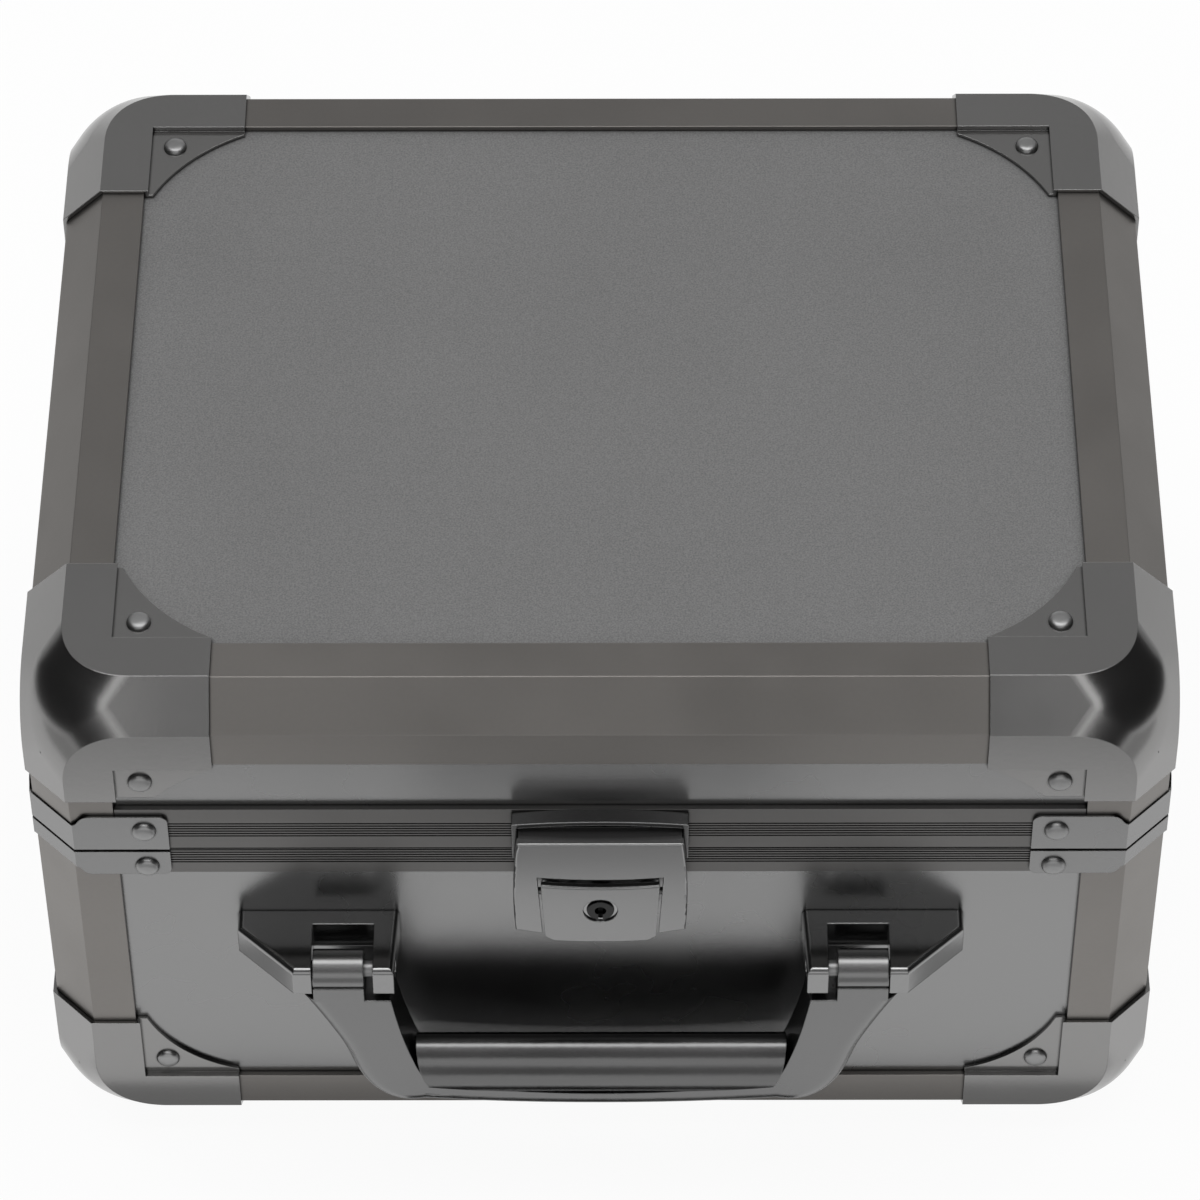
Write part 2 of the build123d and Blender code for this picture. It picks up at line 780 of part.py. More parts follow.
with BuildPart() as handle_frame:
    with BuildSketch(handle_plane):
        with BuildLine():
            Spline(*arm_curve)
            Spline(arm_curve[-1], bar_quarter, (0, bar_low), *mirrored([arm_curve[-1], bar_quarter]))
            Spline(*mirrored(arm_curve))
            Line((arm_out, shoulder_z), (-arm_out, shoulder_z))
        make_face()
    extrude(amount=-handle_t)
    front_rim = handle_frame.faces().sort_by(Axis.Y)[0].edges().sort_by(Axis.Z)[:-1]
    fillet(front_rim, radius=handle_round)
    back_rim = handle_frame.faces().sort_by(Axis.Y)[-1].edges().sort_by(Axis.Z)[:-1]
    fillet(back_rim, radius=handle_back_round)
    with BuildSketch(handle_plane):
        with BuildLine():
            Spline(*inner_curve)
            ThreePointArc(inner_curve[-1], (0, bar_top), (-inner_curve[-1][0], inner_curve[-1][1]))
            Spline(*mirrored(inner_curve))
            Polyline((arm_in, shoulder_z), (knuckle_in, shoulder_z), (knuckle_in, far + shoulder_z),
                     (-knuckle_in, far + shoulder_z), (-knuckle_in, shoulder_z), (-arm_in, shoulder_z))
        make_face()
    extrude(amount=-handle_t, mode=Mode.SUBTRACT)
    for side in (-1, 1):
        knuckle_x = side * (knuckle_out + knuckle_in) / 2
        with Locations((knuckle_x, handle_front, floor + shoulder_z)):
            Box(knuckle_out - knuckle_in, 2 * handle_knuckle_r, shoulder_drop - neck_drop,
                align=(Align.CENTER, Align.MIN, Align.MIN))
        with Locations(Plane(origin=(knuckle_x, pivot_y, floor + pivot_z), z_dir=(1, 0, 0))):
            Cylinder(handle_knuckle_r, knuckle_out - knuckle_in)
    with Locations(Plane(origin=(0, pivot_y, floor + pivot_z), z_dir=(1, 0, 0))):
        Cylinder(pivot_pin_r + pivot_run, case_w, mode=Mode.SUBTRACT)
save(handle_frame, "handle_frame")

# Grip: an oval bar between the arms, standing on the bowed lower bar of the frame
grip_span = 2 * grip_half_h
with BuildPart() as handle_grip:
    with BuildSketch(Plane(origin=(0, front - grip_reach, floor), x_dir=(0, 1, 0), z_dir=(1, 0, 0))):
        with Locations((0, grip_z)):
            Ellipse(grip_half_t, grip_half_h)
    extrude(amount=arm_in, both=True)
    with BuildSketch(handle_plane.offset(grip_span)):
        with BuildLine():
            Spline(*grip_end)
            ThreePointArc(grip_end[-1], (0, bar_top + grip_seat), (-grip_end[-1][0], grip_end[-1][1]))
            Spline(*mirrored(grip_end))
            Line((-grip_end[0][0], grip_end[0][1]), grip_end[0])
        make_face()
    extrude(amount=-3 * grip_span, mode=Mode.INTERSECT)
save(handle_grip, "handle_grip")

# Latch base: a block on the rim and panel with two ears for the lever pin and a strike for the lock
lever_pin_y = front - lever_pin_out
hasp_pin_y = front - hasp_pin_out
side_plane = Plane(origin=(0, front, floor), x_dir=(0, -1, 0), z_dir=(-1, 0, 0))
rim_low = base_edge - floor - base_rim_h
with BuildPart() as latch_base:
    with BuildSketch(side_plane):
        with BuildLine():
            Polyline(
                (-rail_skin, latch_base_low),
                (latch_base_t, latch_base_low),
                (latch_base_t, latch_base_top),
                (0, latch_base_top),
                (0, rim_low - seam_gap / 2),
                (-rail_skin, rim_low - seam_gap / 2),
                close=True,
            )
        make_face()
    extrude(amount=latch_base_half, both=True)
    for side in (-1, 1):
        with BuildSketch(side_plane.offset(side * (ear_x + ear_w / 2))):
            with Locations((lever_pin_out, lever_pin_z)):
                Circle(ear_r)
            with Locations((latch_base_t / 2, lever_pin_z)):
                Rectangle(lever_pin_out - latch_base_t / 2, 2 * ear_r, align=(Align.MIN, Align.CENTER))
        extrude(amount=ear_w / 2, both=True)
    strike_x = cam_reach + strike_gap + strike_t / 2
    with Locations((-strike_x, front - latch_base_t / 2, floor + lock_z)):
        Box(strike_t, strike_out - latch_base_t / 2, strike_h, align=(Align.CENTER, Align.MAX, Align.CENTER))
    with Locations(Plane(origin=(0, lever_pin_y, floor + lever_pin_z), z_dir=(1, 0, 0))):
        Cylinder(latch_pin_r + latch_pin_press, 2 * latch_base_half, mode=Mode.SUBTRACT)
    with BuildSketch(walls["front"].offset(latch_base_t)):
        with Locations(*latch_top_rivets, *latch_low_rivets):
            Circle(hole_r)
    extrude(amount=-2 * rail_depth, mode=Mode.SUBTRACT)
    with BuildSketch(walls["front"].offset(latch_base_t)):
        with Locations(*latch_top_rivets, *latch_low_rivets):
            Circle(flush_head_r + rivet_hole_gap)
    extrude(amount=-flush_head_h, mode=Mode.SUBTRACT)
save(latch_base, "latch_base")

with BuildPart() as latch_pin:
    with Locations(Plane(origin=(0, lever_pin_y, floor + lever_pin_z), z_dir=(1, 0, 0))):
        Cylinder(latch_pin_r, 2 * (lug_x + lug_w))
save(latch_pin, "latch_pin")

# Lever: the key flap, with lugs that turn on the latch pin and carry the hasp pins
lever_face = latch_reach - lever_sink
lever_plane = Plane(origin=(0, front - lever_face, floor), x_dir=(1, 0, 0), z_dir=(0, -1, 0))
lever_back = lever_face - lever_t
with BuildPart() as latch_lever:
    with BuildSketch(lever_plane):
        with BuildLine():
            ThreePointArc((-lever_half, lever_top), (0, lever_top - window_sag), (lever_half, lever_top))
            Polyline(
                (lever_half, lever_top),
                (lever_low_half, lever_low + lever_cut),
                (lever_low_half - lever_cut, lever_low + lever_cut / 4),
            )
            ThreePointArc(
                (lever_low_half - lever_cut, lever_low + lever_cut / 4),
                (0, lever_low),
                (lever_cut - lever_low_half, lever_low + lever_cut / 4),
            )
            Polyline(
                (lever_cut - lever_low_half, lever_low + lever_cut / 4),
                (-lever_low_half, lever_low + lever_cut),
                (-lever_half, lever_top),
            )
        make_face()
    extrude(amount=-lever_t)
    top_edge = latch_lever.faces().sort_by(Axis.Y)[0].edges().sort_by(Axis.Z)[-1]
    fillet(top_edge, radius=lever_round)
    for side in (-1, 1):
        with BuildSketch(side_plane.offset(side * (lug_x + lug_w / 2))):
            with Locations((lever_pin_out, lever_pin_z), (hasp_pin_out, hasp_pin_z)):
                Circle(lug_r)
            with Locations((hasp_pin_out - lug_r, hasp_pin_z)):
                Rectangle(2 * lug_r, lever_pin_z - hasp_pin_z, align=(Align.MIN, Align.MIN))
                Rectangle(lever_back - hasp_pin_out + lug_r + lever_t / 2, lug_h, align=(Align.MIN, Align.MIN))
        extrude(amount=lug_w / 2, both=True)
    with BuildSketch(lever_plane.offset(-lever_t / 2)):
        with Locations((0, lock_z)):
            Circle(lock_boss_r)
    extrude(amount=-lever_t / 2 - lock_boss_t)
    with Locations(Plane(origin=(0, lever_pin_y, floor + lever_pin_z), z_dir=(1, 0, 0))):
        Cylinder(latch_pin_r + latch_pin_run, 4 * latch_base_half, mode=Mode.SUBTRACT)
    with Locations(Plane(origin=(0, hasp_pin_y, floor + hasp_pin_z), z_dir=(1, 0, 0))):
        Cylinder(latch_pin_r + latch_pin_run, 4 * latch_base_half, mode=Mode.SUBTRACT)
    with BuildSketch(lever_plane):
        with Locations((0, lock_z)):
            Circle(lock_sleeve_r)
    extrude(amount=-2 * latch_reach, mode=Mode.SUBTRACT)
save(latch_lever, "latch_lever")

# Lock: a fixed sleeve, a turning plug with its keyhole, and the cam on the plug's tail
sleeve_back = lever_t + lock_boss_t
with BuildPart() as lock_sleeve:
    with BuildSketch(lever_plane.offset(-lock_sink)):
        with Locations((0, lock_z)):
            Circle(lock_sleeve_r)
            Circle(lock_plug_r + lock_run, mode=Mode.SUBTRACT)
    extrude(amount=lock_sink - sleeve_back)
save(lock_sleeve, "lock_sleeve")

cam_front = latch_reach - cam_back - cam_t
with BuildPart() as lock_plug:
    with BuildSketch(lever_plane):
        with Locations((0, lock_z)):
            Circle(lock_plug_r)
    extrude(amount=-sleeve_back)
    with BuildSketch(lever_plane.offset(-sleeve_back)):
        with Locations((0, lock_z)):
            Circle(lock_plug_r / 2)
    extrude(amount=-(lever_face - cam_back - sleeve_back))
    with BuildSketch(lever_plane):
        with Locations((0, lock_z)):
            Circle(keyhole_r)
            Rectangle(keyhole_w, lock_plug_r, align=(Align.CENTER, Align.MAX))
    extrude(amount=-keyhole_deep, mode=Mode.SUBTRACT)
save(lock_plug, "lock_plug")

with BuildPart() as lock_cam:
    with BuildSketch(walls["front"].offset(cam_back)):
        with Locations((0, floor + lock_z)):
            Circle(cam_w / 2 + cam_t / 2)
            Rectangle(cam_w, cam_reach, align=(Align.CENTER, Align.MAX))
            Circle(lock_plug_r / 2, mode=Mode.SUBTRACT)
    extrude(amount=cam_t)
save(lock_cam, "lock_cam")

# Hasp: the outer plate round the lever, with side walls on the hasp pins and a top wall under the hood
hasp_plane = Plane(origin=(0, front - latch_reach, floor), x_dir=(1, 0, 0), z_dir=(0, -1, 0))
side_top = base_edge - floor
hasp_wall_z = hasp_low + hasp_t
catch_top = catch_z + catch_t / 2
with BuildPart() as latch_hasp:
    with BuildSketch(hasp_plane):
        with BuildLine():
            Line((-hasp_top_w / 2, hasp_top), (hasp_top_w / 2, hasp_top))
            ThreePointArc((hasp_top_w / 2, hasp_top), (hasp_mid_w / 2, hasp_mid), (hasp_low_w / 2, hasp_low))
            Polyline(
                (hasp_low_w / 2, hasp_low),
                (window_low_half, hasp_low - hasp_slant),
                (-window_low_half, hasp_low - hasp_slant),
                (-hasp_low_w / 2, hasp_low),
            )
            ThreePointArc((-hasp_low_w / 2, hasp_low), (-hasp_mid_w / 2, hasp_mid), (-hasp_top_w / 2, hasp_top))
        make_face()
    extrude(amount=-hasp_t)
    fillet(latch_hasp.faces().sort_by(Axis.Y)[0].edges(), radius=hasp_edge_r)
    with BuildSketch(hasp_plane):
        with BuildLine():
            ThreePointArc((-window_half, window_top), (0, window_top - window_sag), (window_half, window_top))
            Polyline(
                (window_half, window_top),
                (window_low_half, hasp_low - hasp_slant - 1),
                (-window_low_half, hasp_low - hasp_slant - 1),
                (-window_half, window_top),
            )
        make_face()
    extrude(amount=-hasp_t, mode=Mode.SUBTRACT)
    for side in (-1, 1):
        with Locations((side * (hasp_side_in + hasp_side_t / 2), front - hasp_back, floor + hasp_wall_z)):
            Box(hasp_side_t, latch_reach - hasp_back - hasp_t / 2, side_top - hasp_wall_z,
                align=(Align.CENTER, Align.MAX, Align.MIN))
    lip_reach = catch_reach + catch_gap
    with Locations((0, front - lip_reach, floor + hasp_top)):
        Box(hasp_top_w - hasp_edge_r, latch_reach - lip_reach - hasp_t / 2, hasp_top - catch_top - catch_gap,
            align=(Align.CENTER, Align.MAX, Align.MAX))
    with Locations(Plane(origin=(0, hasp_pin_y, floor + hasp_pin_z), z_dir=(1, 0, 0))):
        Cylinder(latch_pin_r + latch_pin_press, 4 * latch_base_half, mode=Mode.SUBTRACT)
save(latch_hasp, "latch_hasp")

with BuildPart() as hasp_pins:
    pin_length = hasp_side_in + hasp_side_t - lug_x
    for side in (-1, 1):
        with Locations(Plane(origin=(side * lug_x, hasp_pin_y, floor + hasp_pin_z), z_dir=(side, 0, 0))):
            Cylinder(latch_pin_r, pin_length, align=(Align.CENTER, Align.CENTER, Align.MIN))
save(hasp_pins, "hasp_pins")

# Keeper on the lid rim: an arched hood with two cheeks, and the catch bar under it
keeper_plane = Plane(origin=(0, front, floor), x_dir=(1, 0, 0), z_dir=(0, -1, 0))
hood_end = hood_top - hood_arch
with BuildPart() as latch_keeper:
    with BuildSketch(keeper_plane):
        with BuildLine():
            ThreePointArc((-hood_half, hood_end), (0, hood_top), (hood_half, hood_end))
            Polyline((hood_half, hood_end), (hood_half, hood_low), (-hood_half, hood_low), (-hood_half, hood_end))
        make_face()
    extrude(amount=hood_reach)
    with BuildSketch(keeper_plane.offset(latch_base_t)):
        with BuildLine():
            inner_half = hood_half - hood_t
            ThreePointArc((-inner_half, hood_end - hood_t), (0, hood_top - hood_t), (inner_half, hood_end - hood_t))
            Polyline((inner_half, hood_end - hood_t), (inner_half, hood_low), (-inner_half, hood_low),
                     (-inner_half, hood_end - hood_t))
        make_face()
    extrude(amount=hood_reach, mode=Mode.SUBTRACT)
    with Locations((0, front - latch_base_t / 2, floor + catch_z)):
        Box(2 * catch_half, catch_reach - latch_base_t / 2, catch_t,
            align=(Align.CENTER, Align.MAX, Align.CENTER))
    with BuildSketch(keeper_plane.offset(catch_reach)):
        with Locations(*[(x, z - floor) for x, z in keeper_rivets]):
            Circle(flush_head_r + rivet_hole_gap)
    extrude(amount=latch_base_t - flush_head_h - catch_reach, mode=Mode.SUBTRACT)
    with BuildSketch(keeper_plane.offset(catch_reach)):
        with Locations(*[(x, z - floor) for x, z in keeper_rivets]):
            Circle(hole_r)
    extrude(amount=-2 * catch_reach, mode=Mode.SUBTRACT)
save(latch_keeper, "latch_keeper")

# Foam: blocks glued round a recess for the headphones and a pocket for the cable, and a pad in the lid
foam_w = case_w - 2 * foam_gap
foam_d = case_d - 2 * foam_gap
recess_w = foam_w - pocket_w - 3 * foam_rib
recess_d = foam_d - 2 * foam_end
foam_low = floor + rail_depth
foam_top = seam - foam_drop
recess_floor = foam_top - recess_deep
pocket_floor = foam_top - pocket_deep
foam_left = -foam_w / 2
recess_left = foam_left + foam_rib
recess_right = recess_left + recess_w
pocket_left = recess_right + foam_rib
pocket_right = pocket_left + pocket_w
wall_low = recess_floor + foam_glue
clear_d = recess_d - 2 * foam_glue


def foam_block(x_low, x_high, middle_y, depth, z_low, z_high):
    with Locations(((x_low + x_high) / 2, middle_y, (z_low + z_high) / 2)):
        Box(x_high - x_low, depth, z_high - z_low)


with BuildPart() as base_foam:
    foam_block(foam_left, -foam_left, mid_y, foam_d, foam_low, recess_floor)
    for side in (-1, 1):
        end_y = mid_y + side * (recess_d + foam_end) / 2
        foam_block(foam_left, -foam_left, end_y, foam_end, wall_low, foam_top)
    foam_block(foam_left, recess_left, mid_y, clear_d, wall_low, foam_top)
    foam_block(recess_right, pocket_left, mid_y, clear_d, wall_low, foam_top)
    foam_block(pocket_right, -foam_left, mid_y, clear_d, wall_low, foam_top)
    foam_block(pocket_left + foam_glue, pocket_right - foam_glue, mid_y, clear_d, wall_low, pocket_floor)
save(base_foam, "base_foam")

with BuildPart() as lid_pad:
    with BuildSketch(Plane.XY.offset(roof - rail_depth)):
        with Locations((0, mid_y)):
            RectangleRounded(foam_w, foam_d, lid_pad_corner)
    extrude(amount=-lid_pad_t)
    fillet(lid_pad.faces().sort_by(Axis.Z)[0].edges(), radius=lid_pad_r)
save(lid_pad, "lid_pad")

print("case middle in Y", mid_y)
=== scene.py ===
import json
import math

import bpy
from mathutils import Matrix, Vector


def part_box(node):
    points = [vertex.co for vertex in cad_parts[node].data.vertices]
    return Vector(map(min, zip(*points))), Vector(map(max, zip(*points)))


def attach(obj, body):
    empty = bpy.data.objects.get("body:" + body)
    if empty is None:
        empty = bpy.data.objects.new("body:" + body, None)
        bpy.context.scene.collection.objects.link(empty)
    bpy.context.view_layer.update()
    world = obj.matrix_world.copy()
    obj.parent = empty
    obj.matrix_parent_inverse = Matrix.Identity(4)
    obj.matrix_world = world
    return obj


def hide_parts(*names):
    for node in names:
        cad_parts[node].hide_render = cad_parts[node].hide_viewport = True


# The headphone travel case in its studio. Everything is in metres, in the frame of the solids.

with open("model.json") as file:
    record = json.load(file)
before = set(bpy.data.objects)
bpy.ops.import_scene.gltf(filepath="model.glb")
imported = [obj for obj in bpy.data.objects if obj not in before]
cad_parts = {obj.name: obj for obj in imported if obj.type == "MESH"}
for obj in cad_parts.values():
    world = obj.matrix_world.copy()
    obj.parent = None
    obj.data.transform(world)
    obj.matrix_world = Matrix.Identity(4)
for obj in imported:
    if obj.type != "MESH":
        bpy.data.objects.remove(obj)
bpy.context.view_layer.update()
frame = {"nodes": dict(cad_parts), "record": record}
nodes = frame["nodes"]


def deselect():
    for item in bpy.context.selected_objects:
        item.select_set(False)


def make_active(item):
    deselect()
    item.select_set(True)
    bpy.context.view_layer.objects.active = item


# Shader maths

NEAR_SAMPLES = 6
GAP_REACH = 0.0009
NOISE_LOW, NOISE_HIGH = 0.3, 0.7


def grey(value, warm=0.0):
    return (value * (1 + warm), value, value * (1 - warm), 1.0)


class Signal:
    """A socket that Python expressions can work with."""

    def __init__(self, graph, socket):
        self.graph = graph
        self.socket = socket

    def maths(self, operation, first, second, clamp=False):
        settings = {"operation": operation, "use_clamp": clamp}
        return self.graph.add("ShaderNodeMath", settings, {0: first, 1: second})

    def __add__(self, other):
        return self.maths("ADD", self, other)

    def __radd__(self, other):
        return self.maths("ADD", other, self)

    def __mul__(self, other):
        return self.maths("MULTIPLY", self, other)

    def __rmul__(self, other):
        return self.maths("MULTIPLY", other, self)

    def clamped(self):
        return self.maths("MULTIPLY", self, 1.0, clamp=True)

    def spread(self, low, high, out_low=0.0, out_high=1.0):
        """This signal's stretch from low to high, stretched to the out values."""
        inputs = {0: self, 1: low, 2: high, 3: out_low, 4: out_high}
        return self.graph.add("ShaderNodeMapRange", {"clamp": True}, inputs)

    def between(self, low, high):
        """A noise signal, stretched to lie between two values."""
        return self.spread(NOISE_LOW, NOISE_HIGH, low, high)


class Graph:
    """The nodes of a material or of the world."""

    def __init__(self, owner):
        owner.use_nodes = True
        self.tree = owner.node_tree
        self.tree.nodes.clear()

    def add(self, kind, settings, inputs, output=0):
        """A new node, set and wired, and the signal of one of its outputs if it has any."""
        node = self.tree.nodes.new(kind)
        for key, setting in settings.items():
            setattr(node, key, setting)
        for key, value in inputs.items():
            if isinstance(value, Signal):
                self.tree.links.new(value.socket, node.inputs[key])
            else:
                node.inputs[key].default_value = value
        return Signal(self, node.outputs[output]) if node.outputs else None

    def ray_kinds(self):
        """Signals that are one for camera rays, mirror rays and rays through glass."""
        names = ("Is Camera Ray", "Is Glossy Ray", "Is Transmission Ray")
        return [self.add("ShaderNodeLightPath", {}, {}, name) for name in names]


class Finish(Graph):
    """A material that is built up node by node."""

    def __init__(self, name):
        self.material = bpy.data.materials.new(name)
        super().__init__(self.material)
        self.place = self.add("ShaderNodeTexCoord", {}, {}, "Object")

    def stretched(self, scale):
        return self.add("ShaderNodeMapping", {}, {"Vector": self.place, "Scale": scale})

    def noise(self, scale, detail=2.0, rough=0.5, where=None):
        inputs = {
            "Vector": where or self.place,
            "Scale": scale,
            "Detail": detail,
            "Roughness": rough,
        }
        return self.add("ShaderNodeTexNoise", {}, inputs)

    def mix(self, factor, first, second):
        inputs = {0: factor, 6: first, 7: second}
        return self.add("ShaderNodeMix", {"data_type": "RGBA"}, inputs, 2)

    def bump(self, height, strength, distance, normal=None):
        inputs = {"Height": height, "Strength": strength, "Distance": distance}
        if normal is not None:
            inputs["Normal"] = normal
        return self.add("ShaderNodeBump", {}, inputs)

    def soft_edges(self, radius):
        return self.add("ShaderNodeBevel", {"samples": NEAR_SAMPLES}, {"Radius": radius})

    def painted_gap_shade(self):
        """One on open faces, zero down in the gaps, where shade is painted into the colour."""
        settings = {"samples": NEAR_SAMPLES}
        openness = self.add("ShaderNodeAmbientOcclusion", settings, {"Distance": GAP_REACH}, "AO")
        return openness.spread(0.3, 0.85)

    def behind(self, depth, blend):
        """Zero in front of a depth, one behind it."""
        depth_here = self.add("ShaderNodeSeparateXYZ", {}, {0: self.place}, "Y")
        return depth_here.spread(depth - blend, depth + blend)

    def edge_wear_and_highlight(self, rounded):
        """One where an edge is near, zero on the flats: edges are painted lighter, partly as wear
        and partly as a painted highlight.
        """
        flat = self.add("ShaderNodeNewGeometry", {}, {}, "Normal")
        settings = {"operation": "DOT_PRODUCT"}
        same = self.add("ShaderNodeVectorMath", settings, {0: rounded, 1: flat}, "Value")
        return same.spread(0.75, 0.995, 1.0, 0.0)

    def surface(self, fixed, driven):
        return self.closed(self.add("ShaderNodeBsdfPrincipled", {}, {**fixed, **driven}))

    def closed(self, shader):
        """The finished material, with this shader at its end."""
        self.add("ShaderNodeOutputMaterial", {}, {"Surface": shader})
        return self.material


# Finishes

PAINT_DEPTH = 0.00025
METAL_DEPTH = 0.00008
FOAM_DEPTH = 0.0006
TONE_RANGE = 0.28
GLOSS_RANGE = 0.15
CLOUD_SHARE = 0.8
WEAR_AND_HIGHLIGHT_GAIN = 2.2
GAP_SHADE = 0.06
GRIP_BLEND = 0.0006
FLOOR_TO_CAMERA = 0.94
FLOOR_IN_METAL = 0.8
WHITE = grey(1.0)


def speckled_panel(name):
    """Painted board with a fine pebbled grain, and painted shade down in the gaps."""
    finish = Finish(name)
    grain = finish.noise(2400.0, 3.0, 0.6)
    cloud = finish.noise(14.0, 3.0, 0.5)
    fleck = grain.spread(0.35, 0.65)
    tone = (fleck * 0.75 + cloud * 0.25).clamped()
    colour = finish.mix(tone, grey(0.102), grey(0.2))
    # painted shade: the colour goes near black down in the gaps along the rails
    colour = finish.mix(finish.painted_gap_shade(), grey(0.015), colour)
    rough = cloud.between(0.42, 0.54)
    normal = finish.bump(grain, 0.35, PAINT_DEPTH)
    driven = {"Base Color": colour, "Roughness": rough, "Normal": normal}
    return finish.surface({"Metallic": 0.0, "IOR": 1.5}, driven)


def metal(name, colour, rough, metallic=1.0, edge=0.0003, wear_and_highlight=0.05, streaks=None,
          grain=0.12, warm=0.0, pores=900.0, relief=0.08, dark_behind=None):
    """Sheet or cast metal: softened edges that shine a little and are painted lighter as wear and
    painted highlight, faint grain, cloudy gloss, painted shade in the gaps.
    """
    finish = Finish(name)
    rounded = finish.soft_edges(edge)
    where = finish.stretched(streaks) if streaks else None
    fine = finish.noise(pores, 3.0, 0.6, where)
    cloud = finish.noise(22.0, 3.0, 0.55)
    wear_and_glint_mask = finish.edge_wear_and_highlight(rounded)
    centre = 0.5 - grain * (1 + CLOUD_SHARE) / 2
    tone = (fine * grain + cloud * (grain * CLOUD_SHARE) + centre).clamped()
    dark = grey(colour * (1 - TONE_RANGE), warm)
    light = grey(colour * (1 + TONE_RANGE), warm)
    bright = grey(min(1.0, colour * WEAR_AND_HIGHLIGHT_GAIN), warm * 0.5)
    # edges painted lighter: partly rubbed wear, partly a painted highlight
    shade = finish.mix((wear_and_glint_mask * wear_and_highlight).clamped(), finish.mix(tone, dark, light), bright)
    # painted shade: the colour darkens down in the gaps and joints between parts
    shade = finish.mix(finish.painted_gap_shade(), grey(colour * GAP_SHADE), shade)
    if dark_behind is not None:
        shade = finish.mix(finish.behind(dark_behind, GRIP_BLEND), shade, grey(0.012))
    gloss = cloud.between(rough * (1 - GLOSS_RANGE), rough * (1 + GLOSS_RANGE))
    normal = finish.bump(fine, relief, METAL_DEPTH, rounded)
    driven = {"Base Color": shade, "Roughness": gloss, "Normal": normal}
    return finish.surface({"Metallic": metallic}, driven)


def foam(name, colour):
    """Dark open-cell foam with fine pores and a soft nap."""
    finish = Finish(name)
    cells = {"Vector": finish.place, "Scale": 1100.0}
    pores = finish.add("ShaderNodeTexVoronoi", {"feature": "F1"}, cells, "Distance")
    fuzz = finish.noise(500.0, 4.0, 0.65)
    cloud = finish.noise(24.0, 3.0, 0.5)
    tone = (pores * 0.6 + fuzz * 0.3 + cloud * 0.2).clamped()
    shade = finish.mix(tone, grey(colour * 0.45), grey(colour * 1.7))
    normal = finish.bump(pores * 0.6 + fuzz * 0.4, 0.5, FOAM_DEPTH)
    rough = cloud.between(0.9, 1.0)
    fixed = {
        "Metallic": 0.0,
        "Sheen Weight": 0.25,
        "Sheen Roughness": 0.6,
        "Specular IOR Level": 0.15,
    }
    return finish.surface(fixed, {"Base Color": shade, "Roughness": rough, "Normal": normal})


def studio_floor(name):
    """White floor that keeps a soft shadow and looks pale to the camera and in metal."""
    finish = Finish(name)
    direct, mirrored, through = finish.ray_kinds()
    dust = finish.noise(3.0, 2.0, 0.5)
    tone = finish.mix(dust, grey(0.86), grey(0.89))
    matt = finish.add("ShaderNodeBsdfDiffuse", {}, {"Color": tone})
    white = finish.add("ShaderNodeEmission", {}, {"Color": WHITE, "Strength": 1.0})
    seen = (direct * FLOOR_TO_CAMERA + (mirrored + through) * FLOOR_IN_METAL).clamped()
    return finish.closed(finish.add("ShaderNodeMixShader", {}, {0: seen, 1: matt, 2: white}))


grip_low, grip_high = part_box("handle_grip")
GRIP_BACK = (grip_low.y + grip_high.y) / 2 + GRIP_BLEND

SLOTS = {
    "top_panel": speckled_panel("speckled_board"),
    "wall_panel": metal("satin_wall", 0.28, 0.26, edge=0.0002, grain=0.1, pores=2200.0,
                        relief=0.3),
    "rail": metal("anodised_rail", 0.215, 0.36, edge=0.0004, grain=0.1, warm=0.05),
    "rim": metal("anodised_rim", 0.145, 0.34, edge=0.00015, warm=0.02),
    "cap": metal("stamped_cap", 0.275, 0.2, edge=0.00025, wear_and_highlight=0.15, grain=0.1, warm=0.01),
    "brace": metal("stamped_brace", 0.25, 0.26, edge=0.00025),
    "rivet": metal("dull_rivet", 0.32, 0.4, edge=0.0002),
    "handle": metal("satin_handle", 0.2, 0.26, edge=0.0006),
    "grip": metal("brushed_grip", 0.15, 0.22, edge=0.0004, streaks=(0.04, 1.0, 1.0), grain=0.3,
                  dark_behind=GRIP_BACK),
    "bracket": metal("black_bracket", 0.28, 0.14, edge=0.0005),
    "hinge": metal("black_hinge", 0.25, 0.28),
    "latch": metal("satin_latch", 0.27, 0.2, metallic=0.88, edge=0.0004, wear_and_highlight=0.3, grain=0.06,
                   relief=0.02),
    "lock": metal("nickel_lock", 0.4, 0.16, edge=0.0002),
}
NODE_FINISHES = {
    "lock_plug": metal("black_plug", 0.04, 0.25, edge=0.0002),
    "latch_keeper": metal("dark_keeper", 0.16, 0.2, edge=0.0004, wear_and_highlight=0.5),
}
for part in frame["record"]["subparts"]:
    material = NODE_FINISHES.get(part["node"]) or SLOTS.get(part["material_slot"])
    if material:
        mesh = nodes[part["node"]].data
        mesh.materials.clear()
        mesh.materials.append(material)

# Foam that takes the place of the plain blocks

FOAM_VOXEL = 0.0032
FOAM_ROUNDS = 4
MERGE_DISTANCE = 0.00001


def soft_copy(node, name):
    """A merged and softened copy of a plain solid."""
    copy = bpy.data.objects.new(name, nodes[node].data.copy())
    bpy.context.scene.collection.objects.link(copy)
    make_active(copy)
    bpy.ops.object.mode_set(mode="EDIT")
    bpy.ops.mesh.select_all(action="SELECT")
    bpy.ops.mesh.remove_doubles(threshold=MERGE_DISTANCE)
    bpy.ops.mesh.normals_make_consistent(inside=False)
    bpy.ops.object.mode_set(mode="OBJECT")
    remesh = copy.modifiers.new("even_mesh", "REMESH")
    remesh.mode = "VOXEL"
    remesh.voxel_size = FOAM_VOXEL
    bpy.ops.object.modifier_apply(modifier=remesh.name)
    smooth = copy.modifiers.new("soft_edges", "SMOOTH")
    smooth.factor = 0.5
    smooth.iterations = FOAM_ROUNDS
    bpy.ops.object.modifier_apply(modifier=smooth.name)
    bpy.ops.object.shade_smooth()
    copy.data.materials.clear()
    return copy


foam_block = soft_copy("base_foam", "foam_block")
foam_block.data.materials.append(foam("grey_foam", 0.035))
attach(foam_block, "base")
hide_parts("base_foam")

